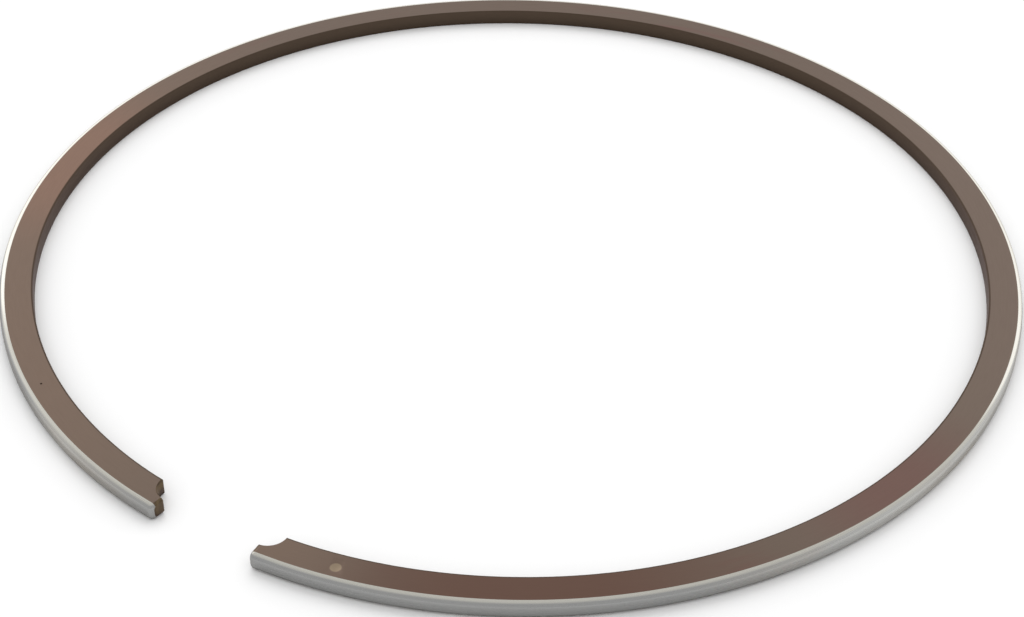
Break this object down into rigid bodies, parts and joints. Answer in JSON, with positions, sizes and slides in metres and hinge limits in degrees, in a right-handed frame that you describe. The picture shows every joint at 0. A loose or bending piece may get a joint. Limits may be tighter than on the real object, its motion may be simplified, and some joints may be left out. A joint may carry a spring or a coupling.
{
  "type": "piston ring",
  "caption": "Open steel piston ring lying free, with flat sides, a plated barrel-shaped running face and a rounded pin notch at the inner corner of each end of its gap.",
  "frame": {"origin": "centre of the ring's box, on the plane of its lower side", "axes": "+Z along the ring's axis towards the marked upper side, -Y through the middle of the gap"},
  "size_m": [0.0726, 0.0714, 0.0012],
  "materials": {
    "ring_steel": "brown heat-tinted satin steel, with a silver plated running face"
  },
  "bodies": {
    "root": {"piston_ring": "ring_steel"}
  },
  "joints": []
}
